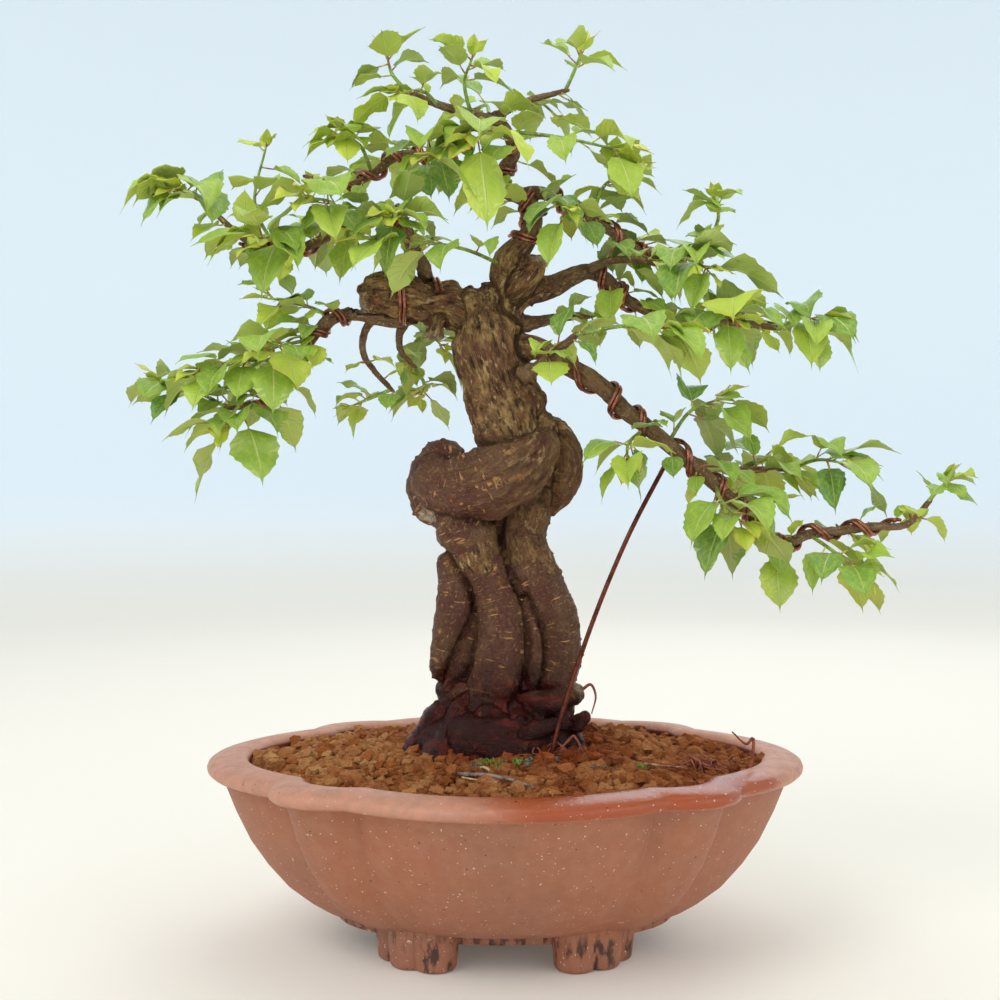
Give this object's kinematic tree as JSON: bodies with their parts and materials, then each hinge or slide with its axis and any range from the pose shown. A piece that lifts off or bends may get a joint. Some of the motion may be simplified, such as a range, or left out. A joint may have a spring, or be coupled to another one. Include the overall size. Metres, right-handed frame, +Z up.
{
  "type": "bonsai tree in a pot",
  "caption": "Wired fruit-tree bonsai with braided lower stems, leafy spreading branches and one cascading branch, in granular soil in a lobed oval unglazed clay pot on cloud feet.",
  "frame": {"origin": "on the ground, under the middle of the whole object's box; the pot's middle is 21 mm towards -X of it", "axes": "+Z up, +X along the pot's length towards the cascading branch, +Y towards the back of the tree"},
  "size_m": [0.418, 0.245, 0.45],
  "materials": {
    "clay": "unglazed red-brown stoneware, matte, with a wiped sheen on the rim",
    "soil": "hard baked clay granules, dry and ochre, darker where damp",
    "bark": "rough grey-brown bark with tan lenticels",
    "leaf": "thin living leaves and green twigs, soft sheen",
    "training_wire": "copper-brown anodised soft aluminium wire",
    "guy_wire": "dark copper-brown anodised soft aluminium wire",
    "mesh": "black moulded plastic mesh"
  },
  "bodies": {
    "root": {"drain_screen_left": "mesh", "drain_screen_right": "mesh", "guy_wire": "guy_wire", "pot": "clay", "screen_clip_left": "training_wire", "screen_clip_right": "training_wire", "shoot_apex_back": "leaf", "shoot_apex_front": "leaf", "shoot_apex_left_end": "leaf", "shoot_apex_left_front": "leaf", "shoot_apex_middle": "leaf", "shoot_apex_right_back": "leaf", "shoot_apex_right_end": "leaf", "shoot_behind_back": "leaf", "shoot_behind_front": "leaf", "shoot_behind_inner": "leaf", "shoot_cascade_end": "leaf", "shoot_cascade_hang": "leaf", "shoot_cascade_low_left": "leaf", "shoot_cascade_low_right": "leaf", "shoot_cascade_side_back": "leaf", "shoot_cascade_side_end": "leaf", "shoot_cascade_top": "leaf", "shoot_centre_twig": "leaf", "shoot_front_spur": "leaf", "shoot_green_twig": "leaf", "shoot_hanging_inner": "leaf", "shoot_hanging_outer": "leaf", "shoot_limb_back": "leaf", "shoot_lower_left_back": "leaf", "shoot_lower_left_end": "leaf", "shoot_lower_left_front": "leaf", "shoot_lower_left_hang": "leaf", "shoot_lower_left_mid": "leaf", "shoot_lower_left_top": "leaf", "shoot_right_front": "leaf", "shoot_right_limb_back": "leaf", "shoot_right_limb_end": "leaf", "shoot_right_limb_front": "leaf", "shoot_right_upper_back": "leaf", "shoot_right_upper_end": "leaf", "shoot_right_upper_left": "leaf", "shoot_right_upper_top": "leaf", "shoot_upper_left_back": "leaf", "shoot_upper_left_end": "leaf", "shoot_upper_left_front": "leaf", "shoot_upper_left_inner": "leaf", "shoot_upper_left_low": "leaf", "shoot_upper_left_stub": "leaf", "soil": "soil", "trunk": "bark", "wire_apex": "training_wire", "wire_cascade": "training_wire", "wire_heavy_limb": "training_wire", "wire_leader": "training_wire", "wire_lower_left": "training_wire", "wire_right_limb": "training_wire", "wire_right_upper": "training_wire", "wire_upper_left": "training_wire", "wire_upper_left_behind": "training_wire"}
  },
  "joints": []
}
